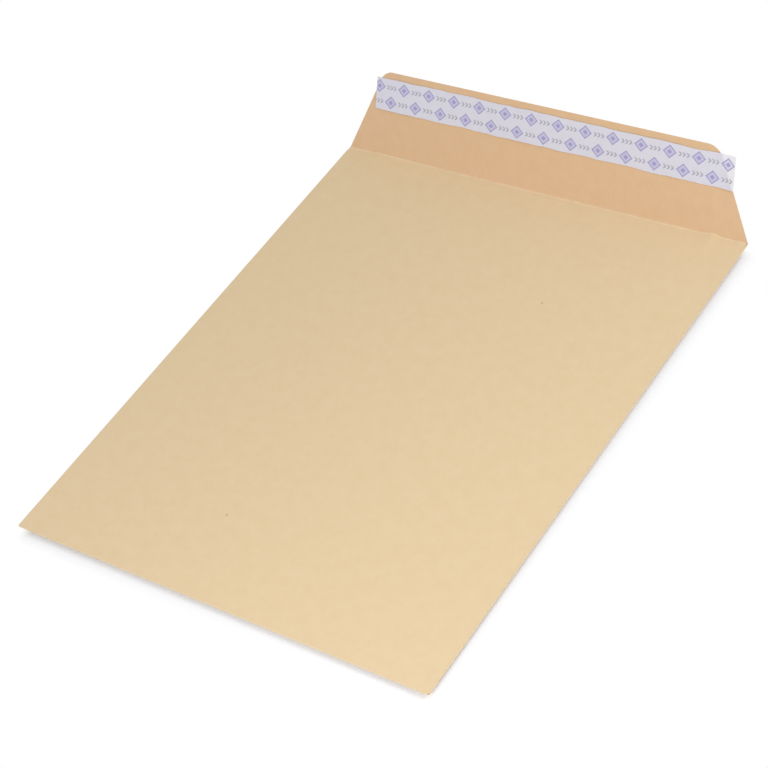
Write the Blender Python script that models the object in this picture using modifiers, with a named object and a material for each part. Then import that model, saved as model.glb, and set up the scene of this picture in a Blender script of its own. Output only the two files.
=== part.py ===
"""Peel-and-seal manila envelope, lying open on its face with the seal flap raised.

Metres, +Z up. X runs across the width, Y runs up the length towards the flap, and Z = 0 is
the surface that the envelope lies on. The origin is the middle of the lower panel's underside.

The envelope is one die-cut sheet. Its flat blank is laid out as patches, each patch is bent
round its fold, and the joined sheet then gets the thickness of the paper.
"""

import math

import bmesh
import bpy
from mathutils import Vector

# Finished body, measured over its folds
BODY_WIDTH = 0.254
BODY_LENGTH = 0.305
PAPER_THICKNESS = 0.00016

# Side flaps, folded inwards on to the lower panel
SIDE_FLAP_WIDTH = 0.018
SIDE_FLAP_END_CUT = 0.006
SIDE_FOLD_END_CLEARANCE = 0.002
SIDE_FOLD_GAP = 0.0001

# Glue that holds the upper panel down on the side flaps
SEAM_GLUE_THICKNESS = 0.00005
SEAM_GLUE_OUTER_MARGIN = 0.0035
SEAM_GLUE_INNER_MARGIN = 0.003

# Upper panel, folded up along the bottom edge
CORNER_RELIEF = 0.0025
UPPER_PANEL_INSET = 0.0006
THROAT_SETBACK = 0.0015
THROAT_CORNER_RADIUS = 0.0015
MOUTH_RISE = 0.0009
MOUTH_RISE_DEPTH = 0.07

# Seal flap, bent up a little further at its right end than at its left. The taper is how far
# each side draws in for each unit of depth.
FLAP_DEPTH = 0.048
FLAP_SIDE_TAPER = 0.425
FLAP_LEFT_CORNER_RADIUS = 0.005
FLAP_RIGHT_CORNER_RADIUS = 0.009
FLAP_LEFT_ANGLE = 59.0
FLAP_RIGHT_ANGLE = 65.0
CREASE_INNER_RADIUS = 0.0003

# Band of gum on the inner side of the flap
GUM_WIDTH = 0.012
GUM_THICKNESS = 0.0001
GUM_END_MARGIN = 0.006

# Strip of release paper over the gum. The cover is how far it reaches past each edge of the
# gum, and the overhangs are how far its ends stand out past the flap's sides, half-way up it.
LINER_COVER = 0.003
LINER_TIP_MARGIN = 0.0043
LINER_LEFT_OVERHANG = -0.001
LINER_RIGHT_OVERHANG = 0.0045
LINER_THICKNESS = 0.00008

# Clearance between separate pieces that lie on each other
CONTACT_GAP = 0.0003

# How finely the curved stretches are divided
BODY_COLUMNS = 16
UPPER_PANEL_ROWS = 12
CORNER_STEPS = 5
FOLD_STEPS = 6
CREASE_STEPS = 4
STRIP_COLUMNS = 16

# Vertices closer than this are one vertex
MERGE_DISTANCE = 0.000001

# Sizes that follow from the ones above
HALF_PAPER = PAPER_THICKNESS / 2
HALF_WIDTH = BODY_WIDTH / 2
CREASE_Y = BODY_LENGTH / 2
SIDE_FOLD_RADIUS = (SIDE_FOLD_GAP + PAPER_THICKNESS) / 2
POCKET_GAP = SIDE_FOLD_GAP + PAPER_THICKNESS + SEAM_GLUE_THICKNESS
BOTTOM_FOLD_RADIUS = (POCKET_GAP + PAPER_THICKNESS) / 2
SIDE_FOLD_X = HALF_WIDTH - SIDE_FOLD_RADIUS - HALF_PAPER
BOTTOM_FOLD_Y = -BODY_LENGTH / 2 + BOTTOM_FOLD_RADIUS + HALF_PAPER
BOTTOM_FOLD_HALF_WIDTH = HALF_WIDTH - CORNER_RELIEF
UPPER_PANEL_HALF_WIDTH = HALF_WIDTH - UPPER_PANEL_INSET
UPPER_PANEL_Z = HALF_PAPER + 2 * BOTTOM_FOLD_RADIUS
SIDE_FLAP_Z = HALF_PAPER + 2 * SIDE_FOLD_RADIUS
THROAT_Y = CREASE_Y - THROAT_SETBACK
POCKET_HALF_WIDTH = HALF_WIDTH - SIDE_FLAP_WIDTH
SEAM_GLUE_WIDTH = SIDE_FLAP_WIDTH - SEAM_GLUE_OUTER_MARGIN - SEAM_GLUE_INNER_MARGIN
SEAM_GLUE_X = HALF_WIDTH - SEAM_GLUE_OUTER_MARGIN - SEAM_GLUE_WIDTH / 2
SEAM_GLUE_BITE = HALF_PAPER / 2
CREASE_RADIUS = CREASE_INNER_RADIUS + HALF_PAPER
LINER_WIDTH = GUM_WIDTH + 2 * LINER_COVER
LINER_START = FLAP_DEPTH - LINER_TIP_MARGIN - LINER_WIDTH
GUM_START = LINER_START + LINER_COVER

# Colour, roughness and metallic value of each material
MANILA_PAPER = ("manila_paper", (0.730, 0.584, 0.376, 1.0), 0.88)
SEAL_GUM = ("seal_gum", (0.784, 0.716, 0.556, 1.0), 0.42)
RELEASE_PAPER = ("release_paper", (0.708, 0.708, 0.791, 1.0), 0.45)
METALLIC = 0.0


def spread(first, last, steps):
    """Values from first to last in equal steps, both ends included."""
    return [first + (last - first) * step / steps for step in range(steps + 1)]


def bend(distance, radius, angle):
    """Where a point lies that is this far past the start of a fold: forwards, and up."""
    arc_length = radius * angle
    turned = min(distance, arc_length) / radius
    beyond = max(distance - arc_length, 0.0)
    forwards = radius * math.sin(turned) + beyond * math.cos(turned)
    up = radius * (1 - math.cos(turned)) + beyond * math.sin(turned)
    return forwards, up


def rounded_end(distance_to_end, radius):
    """How far a side draws in where its corner is rounded off."""
    if distance_to_end >= radius:
        return 0.0
    rise = radius - distance_to_end
    return radius - math.sqrt(max(radius * radius - rise * rise, 0.0))


def corner_rows(end, radius, steps):
    """Rows towards an end that follow its rounded corner, the last one at the end itself."""
    return [
        end - radius * (1 - math.sin(math.pi / 2 * step / steps))
        for step in range(steps + 1)
    ]


def flap_angle(x):
    """Angle between the lower panel and the flap at this place along the crease."""
    share = (x + HALF_WIDTH) / BODY_WIDTH
    degrees = FLAP_LEFT_ANGLE + (FLAP_RIGHT_ANGLE - FLAP_LEFT_ANGLE) * share
    return math.radians(degrees)


def flap_point(x, distance, lift):
    """A point on the flap, this far from the crease and lifted off its middle surface."""
    angle = flap_angle(x)
    forwards, up = bend(distance, CREASE_RADIUS, angle)
    turned = min(distance / CREASE_RADIUS, angle)
    return Vector(
        (
            x,
            CREASE_Y + forwards - lift * math.sin(turned),
            HALF_PAPER + up + lift * math.cos(turned),
        )
    )


def flap_half_width(distance):
    """Half the width of the flap at this distance from the crease, before its corners are cut."""
    return SIDE_FOLD_X - FLAP_SIDE_TAPER * distance


def flap_sides(distance):
    """Where the flap's left and right sides are at this distance from the crease."""
    half_width = flap_half_width(distance)
    to_tip = FLAP_DEPTH - distance
    left = rounded_end(to_tip, FLAP_LEFT_CORNER_RADIUS) - half_width
    right = half_width - rounded_end(to_tip, FLAP_RIGHT_CORNER_RADIUS)
    return left, right


def add_patch(sheet, across, along, place):
    """Add a patch of the sheet whose points lie where place says."""
    rows = [[sheet.verts.new(place(a, b)) for a in across] for b in along]
    for lower, upper in zip(rows, rows[1:]):
        for i in range(len(across) - 1):
            sheet.faces.new((lower[i], lower[i + 1], upper[i + 1], upper[i]))


def add_lower_panel(sheet, columns, side_rows):
    """The panel that lies on the table, flat from fold to fold."""
    rows = [BOTTOM_FOLD_Y, *side_rows, CREASE_Y]
    add_patch(sheet, columns, rows, lambda x, y: Vector((x, y, HALF_PAPER)))


def add_upper_panel(sheet, shares):
    """The panel that turns up round the bottom fold and runs back to the throat."""

    def fold_place(share, distance):
        forwards, up = bend(distance, BOTTOM_FOLD_RADIUS, math.pi)
        return Vector(
            (share * BOTTOM_FOLD_HALF_WIDTH, BOTTOM_FOLD_Y - forwards, HALF_PAPER + up)
        )

    def half_width(y):
        relief = max(1 - (y - BOTTOM_FOLD_Y) / CORNER_RELIEF, 0.0)
        widening = (UPPER_PANEL_HALF_WIDTH - BOTTOM_FOLD_HALF_WIDTH) * relief
        return UPPER_PANEL_HALF_WIDTH - widening - rounded_end(THROAT_Y - y, THROAT_CORNER_RADIUS)

    def mouth_lift(x, y):
        towards_mouth = max(1 - (THROAT_Y - y) / MOUTH_RISE_DEPTH, 0.0)
        towards_middle = max(1 - (x / POCKET_HALF_WIDTH) ** 2, 0.0)
        return MOUTH_RISE * towards_mouth**2 * towards_middle**2

    def panel_place(share, y):
        x = share * half_width(y)
        return Vector((x, y, UPPER_PANEL_Z + mouth_lift(x, y)))

    fold_rows = spread(0.0, math.pi * BOTTOM_FOLD_RADIUS, FOLD_STEPS)
    add_patch(sheet, shares, fold_rows, fold_place)
    flared = BOTTOM_FOLD_Y + CORNER_RELIEF
    straight_end = THROAT_Y - THROAT_CORNER_RADIUS
    panel_rows = [BOTTOM_FOLD_Y, *spread(flared, straight_end, UPPER_PANEL_ROWS)]
    panel_rows += corner_rows(THROAT_Y, THROAT_CORNER_RADIUS, CORNER_STEPS)[1:]
    add_patch(sheet, shares, panel_rows, panel_place)


def add_side_flap(sheet, side, side_rows):
    """One side flap, turned in over the lower panel; side is -1 for left and 1 for right."""
    fold_length = math.pi * SIDE_FOLD_RADIUS
    flap_run = SIDE_FLAP_WIDTH - SIDE_FOLD_RADIUS - HALF_PAPER
    middle_y = (side_rows[0] + side_rows[-1]) / 2
    half_length = (side_rows[-1] - side_rows[0]) / 2

    def place(distance, y):
        outwards, up = bend(distance, SIDE_FOLD_RADIUS, math.pi)
        run = max(distance - fold_length, 0.0) / flap_run
        shortened = 1 - run * SIDE_FLAP_END_CUT / half_length
        return Vector(
            (side * (SIDE_FOLD_X + outwards), middle_y + (y - middle_y) * shortened, HALF_PAPER + up)
        )

    distances = [*spread(0.0, fold_length, FOLD_STEPS), fold_length + flap_run]
    add_patch(sheet, distances, side_rows, place)


def add_seal_flap(sheet, columns):
    """The seal flap, bent up along the crease and tapered to rounded corners."""

    def place(column, distance):
        left, right = flap_sides(distance)
        share = (column + SIDE_FOLD_X) / (2 * SIDE_FOLD_X)
        return flap_point(left + (right - left) * share, distance, 0.0)

    steepest = math.radians(max(FLAP_LEFT_ANGLE, FLAP_RIGHT_ANGLE))
    crease_rows = spread(0.0, CREASE_RADIUS * steepest, CREASE_STEPS)
    widest_corner = max(FLAP_LEFT_CORNER_RADIUS, FLAP_RIGHT_CORNER_RADIUS)
    rows = crease_rows + corner_rows(FLAP_DEPTH, widest_corner, CORNER_STEPS)
    add_patch(sheet, columns, rows, place)


def plain_material(name, colour, roughness):
    """A Principled material of one colour."""
    material = bpy.data.materials.new(name)
    material.use_nodes = True
    shader = material.node_tree.nodes["Principled BSDF"]
    shader.inputs["Base Color"].default_value = colour
    shader.inputs["Roughness"].default_value = roughness
    shader.inputs["Metallic"].default_value = METALLIC
    return material


def sheet_object(name, sheet, thickness, finish, collection):
    """Turn a sheet into a named object with a thickness and a material."""
    bmesh.ops.remove_doubles(sheet, verts=sheet.verts, dist=MERGE_DISTANCE)
    bmesh.ops.recalc_face_normals(sheet, faces=sheet.faces)
    mesh = bpy.data.meshes.new(name)
    sheet.to_mesh(mesh)
    sheet.free()
    mesh.materials.append(plain_material(*finish))
    piece = bpy.data.objects.new(name, mesh)
    collection.objects.link(piece)
    wall = piece.modifiers.new("paper_thickness", "SOLIDIFY")
    wall.thickness = thickness
    wall.offset = 0.0
    wall.use_even_offset = True
    return piece


def seam_glue(side, cutters):
    """The glue line under one side of the upper panel, as a guide that is joined to the paper."""
    low = SIDE_FLAP_Z + HALF_PAPER - SEAM_GLUE_BITE
    high = UPPER_PANEL_Z - HALF_PAPER + SEAM_GLUE_BITE
    end_clearance = SIDE_FOLD_END_CLEARANCE + SIDE_FLAP_END_CUT
    bottom = BOTTOM_FOLD_Y + end_clearance
    top = CREASE_Y - end_clearance
    block = bmesh.new()
    bmesh.ops.create_cube(block, size=1.0)
    bmesh.ops.scale(block, vec=(SEAM_GLUE_WIDTH, top - bottom, high - low), verts=block.verts)
    mesh = bpy.data.meshes.new("seam_glue")
    block.to_mesh(mesh)
    block.free()
    guide = bpy.data.objects.new("seam_glue_guide", mesh)
    guide.location = (side * SEAM_GLUE_X, (top + bottom) / 2, (low + high) / 2)
    guide.hide_render = True
    guide.display_type = "WIRE"
    cutters.objects.link(guide)
    return guide


def make_envelope(collection, cutters):
    """The folded and glued paper sheet."""
    shares = spread(-1.0, 1.0, BODY_COLUMNS)
    inner_columns = [share * BOTTOM_FOLD_HALF_WIDTH for share in shares]
    columns = [-SIDE_FOLD_X, *inner_columns, SIDE_FOLD_X]
    side_rows = [BOTTOM_FOLD_Y + SIDE_FOLD_END_CLEARANCE, CREASE_Y - SIDE_FOLD_END_CLEARANCE]
    sheet = bmesh.new()
    add_lower_panel(sheet, columns, side_rows)
    add_upper_panel(sheet, shares)
    add_seal_flap(sheet, columns)
    for side in (-1, 1):
        add_side_flap(sheet, side, side_rows)
    envelope = sheet_object("envelope", sheet, PAPER_THICKNESS, MANILA_PAPER, collection)
    for side in (-1, 1):
        glued = envelope.modifiers.new("glued_seam", "BOOLEAN")
        glued.operation = "UNION"
        glued.object = seam_glue(side, cutters)
    return envelope


def make_strip(name, left, right, start, width, thickness, lift, finish, collection):
    """A thin strip along the inner side of the flap, this far from the crease and this wide."""

    def place(x, distance):
        return flap_point(x, distance, lift)

    sheet = bmesh.new()
    add_patch(sheet, spread(left, right, STRIP_COLUMNS), [start, start + width], place)
    return sheet_object(name, sheet, thickness, finish, collection)


def make_gum(collection):
    """The band of gum, which stops short of the flap's sides."""
    reach = flap_half_width(GUM_START + GUM_WIDTH) - GUM_END_MARGIN
    lift = HALF_PAPER + CONTACT_GAP + GUM_THICKNESS / 2
    return make_strip(
        name="adhesive_strip",
        left=-reach,
        right=reach,
        start=GUM_START,
        width=GUM_WIDTH,
        thickness=GUM_THICKNESS,
        lift=lift,
        finish=SEAL_GUM,
        collection=collection,
    )


def make_liner(collection):
    """The release strip over the gum, whose ends stand out past the flap's sides."""
    side = flap_half_width(LINER_START + LINER_WIDTH / 2)
    lift = HALF_PAPER + CONTACT_GAP + GUM_THICKNESS + CONTACT_GAP + LINER_THICKNESS / 2
    return make_strip(
        name="release_liner",
        left=-side - LINER_LEFT_OVERHANG,
        right=side + LINER_RIGHT_OVERHANG,
        start=LINER_START,
        width=LINER_WIDTH,
        thickness=LINER_THICKNESS,
        lift=lift,
        finish=RELEASE_PAPER,
        collection=collection,
    )


def new_collection(name):
    """A collection linked to the scene."""
    collection = bpy.data.collections.new(name)
    bpy.context.scene.collection.children.link(collection)
    return collection


def main():
    """Clear the scene and build the envelope."""
    for old in list(bpy.data.objects):
        bpy.data.objects.remove(old, do_unlink=True)
    collection = new_collection("manila_envelope")
    cutters = new_collection("joining_guides")
    make_envelope(collection, cutters)
    make_gum(collection)
    make_liner(collection)


main()
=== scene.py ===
"""Looks of an open peel-and-seal manila envelope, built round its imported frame.

Metres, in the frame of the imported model: X runs across the width, Y up the length towards the
seal flap and Z up from the surface that the envelope lies on. The origin is under the middle of
the body. The sheet, the glue of its side seams, the gum band and the release strip are made
again here with their fine form, and each gets its own finish.
"""

import logging
import math
from dataclasses import dataclass, fields
from enum import Enum
from typing import Callable, Sequence

import bmesh
import bpy
from mathutils import Matrix, Vector


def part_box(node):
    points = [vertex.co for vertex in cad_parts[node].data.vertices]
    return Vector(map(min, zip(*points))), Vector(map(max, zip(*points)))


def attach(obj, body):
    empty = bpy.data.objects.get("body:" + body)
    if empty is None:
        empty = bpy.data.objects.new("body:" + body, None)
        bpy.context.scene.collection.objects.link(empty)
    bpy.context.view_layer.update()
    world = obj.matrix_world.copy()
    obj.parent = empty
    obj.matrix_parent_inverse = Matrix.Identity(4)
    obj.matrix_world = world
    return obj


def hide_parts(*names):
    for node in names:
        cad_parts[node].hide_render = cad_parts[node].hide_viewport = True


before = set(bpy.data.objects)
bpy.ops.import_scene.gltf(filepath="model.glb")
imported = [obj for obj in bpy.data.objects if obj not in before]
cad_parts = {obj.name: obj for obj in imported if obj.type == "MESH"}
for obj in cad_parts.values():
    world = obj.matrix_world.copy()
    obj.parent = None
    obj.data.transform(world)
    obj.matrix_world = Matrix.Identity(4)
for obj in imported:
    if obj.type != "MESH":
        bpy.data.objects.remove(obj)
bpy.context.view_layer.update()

log = logging.getLogger("manila_envelope")

BODY = "root"
MILLIMETRE = 0.001
WHITE = (1.0, 1.0, 1.0, 1.0)

# Side of the photo's square frame, in pixels
PHOTO_SIDE = 768

# Named attributes that carry a place on the flat paper to the materials, in metres
BLANK_PLACE = "blank_place"
STRIP_PLACE = "strip_place"

# Blender's type names of the nodes that are used more than once
ATTRIBUTE = "ShaderNodeAttribute"
BUMP = "ShaderNodeBump"
COMBINE = "ShaderNodeCombineXYZ"
MAPPING = "ShaderNodeMapping"
MAP_RANGE = "ShaderNodeMapRange"
MATH = "ShaderNodeMath"
MIX = "ShaderNodeMix"
NOISE = "ShaderNodeTexNoise"
SEPARATE = "ShaderNodeSeparateXYZ"
VECTOR_MATH = "ShaderNodeVectorMath"

# Sockets of a mix node where it mixes colours: the share, the two colours and the result
MIX_SHARE = 0
MIX_UNDER = 6
MIX_OVER = 7
MIX_RESULT = 2


def linear(hex_colour: str) -> tuple[float, float, float, float]:
    """Turn an sRGB hex colour into the linear colour that a shader takes.

    Args:
        hex_colour: six hex digits after a hash sign.

    Returns:
        Linear red, green and blue, with an alpha of 1.
    """
    channels = [int(hex_colour[place : place + 2], 16) / 255 for place in (1, 3, 5)]
    red, green, blue = [
        channel / 12.92 if channel <= 0.04045 else ((channel + 0.055) / 1.055) ** 2.4
        for channel in channels
    ]
    return red, green, blue, 1.0


def set_inputs(
    tree: bpy.types.NodeTree, node: bpy.types.Node, inputs: dict[str | int, object]
) -> None:
    """Set or link inputs of a node.

    Args:
        tree: node tree that holds the node.
        node: the node.
        inputs: for each input, by name or number, a plain value, an output socket to link, or
            a node whose first output is linked.
    """
    for key, value in inputs.items():
        if isinstance(value, bpy.types.Node):
            value = value.outputs[0]
        if isinstance(value, bpy.types.NodeSocket):
            tree.links.new(value, node.inputs[key])
        else:
            node.inputs[key].default_value = value


def add_node(
    tree: bpy.types.NodeTree,
    kind: str,
    inputs: dict[str | int, object] | None = None,
    **settings: object,
) -> bpy.types.Node:
    """Add a node, set its properties, and set or link its inputs.

    Args:
        tree: node tree that the node goes into.
        kind: Blender's type name of the node.
        inputs: inputs to set or link, as set_inputs takes them.
        settings: properties of the node itself.

    Returns:
        The new node.
    """
    node = tree.nodes.new(kind)
    for name, value in settings.items():
        setattr(node, name, value)
    set_inputs(tree, node, inputs or {})
    return node


def new_material(name: str) -> tuple[bpy.types.Material, bpy.types.NodeTree, bpy.types.Node]:
    """Start a node material with a Principled shader.

    Args:
        name: name of the material.

    Returns:
        The material, its node tree and its shader.
    """
    material = bpy.data.materials.new(name)
    material.use_nodes = True
    tree = material.node_tree
    return material, tree, tree.nodes["Principled BSDF"]


def flat_place(tree: bpy.types.NodeTree, name: str) -> bpy.types.Node:
    """Read the place on the flat paper that a mesh carries.

    Args:
        tree: the material's nodes.
        name: name of the attribute that holds the place in metres.

    Returns:
        The node whose first output is the place in millimetres.
    """
    place = add_node(tree, ATTRIBUTE, attribute_name=name).outputs["Vector"]
    return add_node(tree, VECTOR_MATH, {0: place, "Scale": 1 / MILLIMETRE}, operation="SCALE")


def laid_over(
    tree: bpy.types.NodeTree, ground: str, layers: Sequence[tuple[bpy.types.Node, str]]
) -> bpy.types.NodeSocket:
    """Lay colours over a ground, one after another.

    Args:
        tree: the material's nodes.
        ground: hex colour of the ground.
        layers: for each layer, the node that gives its share, and its hex colour.

    Returns:
        The socket of the finished colour.
    """
    colour = linear(ground)
    for share, tone in layers:
        inputs = {MIX_SHARE: share, MIX_UNDER: colour, MIX_OVER: linear(tone)}
        colour = add_node(tree, MIX, inputs, data_type="RGBA").outputs[MIX_RESULT]
    return colour


def new_piece(name: str, mesh: bpy.types.Mesh) -> bpy.types.Object:
    """Put a mesh into the scene as a named object at the origin.

    Args:
        name: name of the piece.
        mesh: its mesh.

    Returns:
        The new object.
    """
    piece = bpy.data.objects.new(name, mesh)
    bpy.context.scene.collection.objects.link(piece)
    return piece


def made_plain(piece: bpy.types.Object) -> bpy.types.Object:
    """Turn what an object's modifiers give into its plain mesh, and drop the modifiers.

    Args:
        piece: object with live modifiers.

    Returns:
        The same object, with a plain mesh.
    """
    shown = piece.evaluated_get(bpy.context.evaluated_depsgraph_get())
    mesh = bpy.data.meshes.new_from_object(shown)
    mesh.name = piece.name
    piece.modifiers.clear()
    piece.data = mesh
    return piece


def spread(first: float, last: float, steps: int) -> list[float]:
    """Values from first to last in equal steps, both ends included."""
    return [first + (last - first) * step / steps for step in range(steps + 1)]


def graded(first: float, last: float, step: float, edge: float) -> list[float]:
    """Values in even steps, with two finer ones at each end.

    Args:
        first: value at the start.
        last: value at the end.
        step: widest step wanted between the finer ones.
        edge: distance of the finest value from its end.

    Returns:
        The values in order, both ends included.
    """
    second_edge = 4 * edge
    finer = [first, first + edge, first + second_edge]
    coarser = [last - second_edge, last - edge, last]
    steps = max(1, math.ceil((coarser[0] - finer[-1]) / step))
    return finer[:-1] + spread(finer[-1], coarser[0], steps) + coarser[1:]


def bend(distance: float, radius: float, angle: float) -> tuple[float, float]:
    """Follow a sheet round a fold.

    Args:
        distance: how far the point is past the start of the fold, along the sheet.
        radius: radius of the fold.
        angle: angle that the fold turns through.

    Returns:
        How far forwards and how far up the point ends.
    """
    arc_length = radius * angle
    turned = min(distance, arc_length) / radius
    beyond = max(distance - arc_length, 0.0)
    forwards = radius * math.sin(turned) + beyond * math.cos(turned)
    up = radius * (1 - math.cos(turned)) + beyond * math.sin(turned)
    return forwards, up


def rounded_end(distance_to_end: float, radius: float) -> float:
    """Find how far a side draws in where its corner is rounded off.

    Args:
        distance_to_end: distance from the end that the corner is at.
        radius: radius of the corner.

    Returns:
        How far the side lies inside its straight line.
    """
    if distance_to_end >= radius:
        return 0.0
    rise = radius - distance_to_end
    return radius - math.sqrt(max(radius * radius - rise * rise, 0.0))


def corner_rows(end: float, radius: float, steps: int) -> list[float]:
    """Rows towards an end that follow its rounded corner, the last one at the end itself."""
    return [end - radius * (1 - math.sin(math.pi / 2 * step / steps)) for step in range(steps + 1)]


def fade(value: float, start: float, end: float) -> float:
    """Rise smoothly from 0 at start to 1 at end."""
    share = min(max((value - start) / (end - start), 0.0), 1.0)
    return share * share * (3 - 2 * share)


def swell(value: float, centre: float, reach: float) -> float:
    """A smooth bump of height 1 at its centre, about as wide on each side as its reach."""
    return math.exp(-(((value - centre) / reach) ** 2))


class PaperSide(Enum):
    """The three kinds of surface on the sheet, by their material slot."""

    OUTSIDE = 0
    INSIDE = 1
    CUT_EDGE = 2


@dataclass(frozen=True)
class FlapForm:
    """Where the raised seal flap runs, which the strips on it share.

    The flap is straight from crease to tip, and stands a little steeper at its right end than at
    its left.
    """

    half_width: float
    crease_y: float
    paper: float = 0.00016
    side_fold_inset: float = 0.00021
    crease_inner_radius: float = 0.0003
    left_angle: float = math.radians(59.0)
    right_angle: float = math.radians(65.0)
    depth: float = 0.048
    side_taper: float = 0.425

    @property
    def crease_radius(self) -> float:
        """Radius of the crease at the middle of the paper."""
        return self.crease_inner_radius + self.paper / 2

    @property
    def root_half_width(self) -> float:
        """Half the flap's width at the crease."""
        return self.half_width - self.side_fold_inset

    def angle(self, x: float) -> float:
        """Angle that the flap turns through at this place along the crease."""
        share = (x + self.half_width) / (2 * self.half_width)
        return self.left_angle + (self.right_angle - self.left_angle) * share

    def side(self, distance: float) -> float:
        """Half the flap's width this far from the crease, before its corners are cut."""
        return self.root_half_width - self.side_taper * distance

    def point(self, x: float, distance: float) -> Vector:
        """The middle of the paper at this place across and this distance from the crease."""
        forwards, up = bend(distance, self.crease_radius, self.angle(x))
        return Vector((x, self.crease_y + forwards, self.paper / 2 + up))


@dataclass(frozen=True)
class FoldedSheet:
    """The die-cut and folded sheet, all one piece of paper.

    It holds the lower panel, the two side flaps turned in over it, the upper panel turned up
    round the bottom edge, and the seal flap. Places on it are kept as places on the flat blank,
    so that the grain of the paper runs on round the folds.
    """

    flap: FlapForm
    half_length: float

    # Side flaps, whose folds stop short of the crease and of the bottom fold, and their glue
    side_flap_width: float = 0.018
    side_flap_end_cut: float = 0.006
    side_fold_top_clearance: float = 0.002
    side_fold_bottom_clearance: float = 0.0008
    side_fold_gap: float = 0.0001
    glue_thickness: float = 0.00005

    # Upper panel, which is a little narrower than the body, and its cut edge at the throat
    upper_panel_inset: float = 0.0006
    throat_reach: float = 0.0003
    throat_corner_radius: float = 0.0015

    # Corners of the seal flap
    left_corner_radius: float = 0.005
    right_corner_radius: float = 0.0065

    # How the throat's edge stands off its glued height. It bulges next to each glued seam, and
    # the bulge fades out from just inside the side flap's edge to just outside it
    left_bulge: float = 0.0005
    left_bulge_x: float = -0.094
    left_bulge_reach: float = 0.020
    right_bulge: float = 0.001
    right_bulge_x: float = 0.108
    right_bulge_reach: float = 0.0045
    bulge_fade_inside: float = 0.0025
    bulge_fade_outside: float = 0.0035

    # Between the seams there is no side flap under the throat's edge, so it sags and ripples a
    # little, fading out over a stretch just inside the side flap's edge
    middle_sag: float = 0.00022
    sag_fade_start: float = 0.014
    sag_fade_end: float = 0.001
    ripple: float = 0.00003
    ripple_pitch: float = 0.041

    # How far below the throat its edge's form reaches, and how far below it the panel leans
    mouth_depth: float = 0.024
    throat_lean_depth: float = 0.01

    # The throat's edge lies a little further back next to the right seam
    right_seam_setback: float = 0.0001
    right_seam_setback_x: float = 0.117
    right_seam_setback_reach: float = 0.006

    # The empty pocket lies on its belly: its folded edges stand this far off the table, the
    # lower panel sags down to it and the upper panel is lofted a little
    edge_height: float = 0.0023
    belly_power: float = 4.0
    loft: float = 0.0012

    # Mesh steps
    step: float = 0.004
    edge_step: float = 0.0003
    seam_step: float = 0.0015
    fine_inside_seam: float = 0.012
    fine_outside_seam: float = 0.006
    fold_steps: int = 6
    crease_steps: int = 4
    corner_steps: int = 8
    merge_distance: float = 0.000001
    sharp_angle: float = math.radians(40.0)

    @property
    def half_paper(self) -> float:
        """Half the thickness of the paper."""
        return self.flap.paper / 2

    @property
    def side_fold_radius(self) -> float:
        """Radius of the side folds at the middle of the paper."""
        return (self.side_fold_gap + self.flap.paper) / 2

    @property
    def side_fold_length(self) -> float:
        """Length of paper in a side fold."""
        return math.pi * self.side_fold_radius

    @property
    def side_flap_run(self) -> float:
        """Width of a side flap past its fold."""
        return self.side_flap_width - self.side_fold_radius - self.half_paper

    @property
    def side_flap_z(self) -> float:
        """Height of the side flaps' middle surface."""
        return self.half_paper + 2 * self.side_fold_radius

    @property
    def bottom_fold_radius(self) -> float:
        """Radius of the bottom fold, which goes round the lower panel, a side flap and glue."""
        return self.side_fold_radius + (self.flap.paper + self.glue_thickness) / 2

    @property
    def bottom_fold_length(self) -> float:
        """Length of paper in the bottom fold."""
        return math.pi * self.bottom_fold_radius

    @property
    def bottom_fold_y(self) -> float:
        """Where the lower panel starts to turn up at the bottom."""
        return -self.half_length + self.bottom_fold_radius + self.half_paper

    @property
    def panel_half_width(self) -> float:
        """Half the width of the upper panel, and of the bottom fold that it turns up from."""
        return self.flap.half_width - self.upper_panel_inset

    @property
    def upper_panel_z(self) -> float:
        """Height of the upper panel's middle surface where it is glued down."""
        return self.half_paper + 2 * self.bottom_fold_radius

    @property
    def pocket_half_width(self) -> float:
        """Half the width between the side flaps."""
        return self.flap.half_width - self.side_flap_width

    @property
    def throat_y(self) -> float:
        """Where the upper panel's cut edge lies, which leans on the flap past the crease."""
        return self.flap.crease_y + self.throat_reach

    @property
    def blank_throat(self) -> float:
        """Where the upper panel's cut edge lies on the flat blank, along its length."""
        return self.bottom_fold_y - self.bottom_fold_length - (self.throat_y - self.bottom_fold_y)

    def lower_lift(self, x: float, y: float) -> float:
        """Find how far the lower panel stands off the table, which its belly touches.

        Args:
            x: place across.
            y: place along.

        Returns:
            The height of its underside.
        """
        across = 1 - min(abs(x) / self.flap.root_half_width, 1.0) ** self.belly_power
        end = self.flap.crease_y if y > 0 else self.bottom_fold_y
        along = 1 - min(y / end, 1.0) ** self.belly_power
        return self.edge_height * (1 - across * along)

    def throat_rise(self, x: float) -> float:
        """Find how far the throat's edge stands off its glued height.

        Args:
            x: place across.

        Returns:
            The rise, which is below 0 where the edge sags.
        """
        flap_edge = self.pocket_half_width
        fade_start = flap_edge - self.bulge_fade_inside
        free = 1 - fade(abs(x), fade_start, flap_edge + self.bulge_fade_outside)
        bulge = self.left_bulge * swell(x, self.left_bulge_x, self.left_bulge_reach)
        bulge += self.right_bulge * swell(x, self.right_bulge_x, self.right_bulge_reach)
        fade_start = flap_edge - self.sag_fade_start
        inner = 1 - fade(abs(x), fade_start, flap_edge - self.sag_fade_end)
        ripple = self.ripple * (1 + math.sin(2 * math.pi * x / self.ripple_pitch))
        return free * bulge + inner * (ripple - self.middle_sag)

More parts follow.
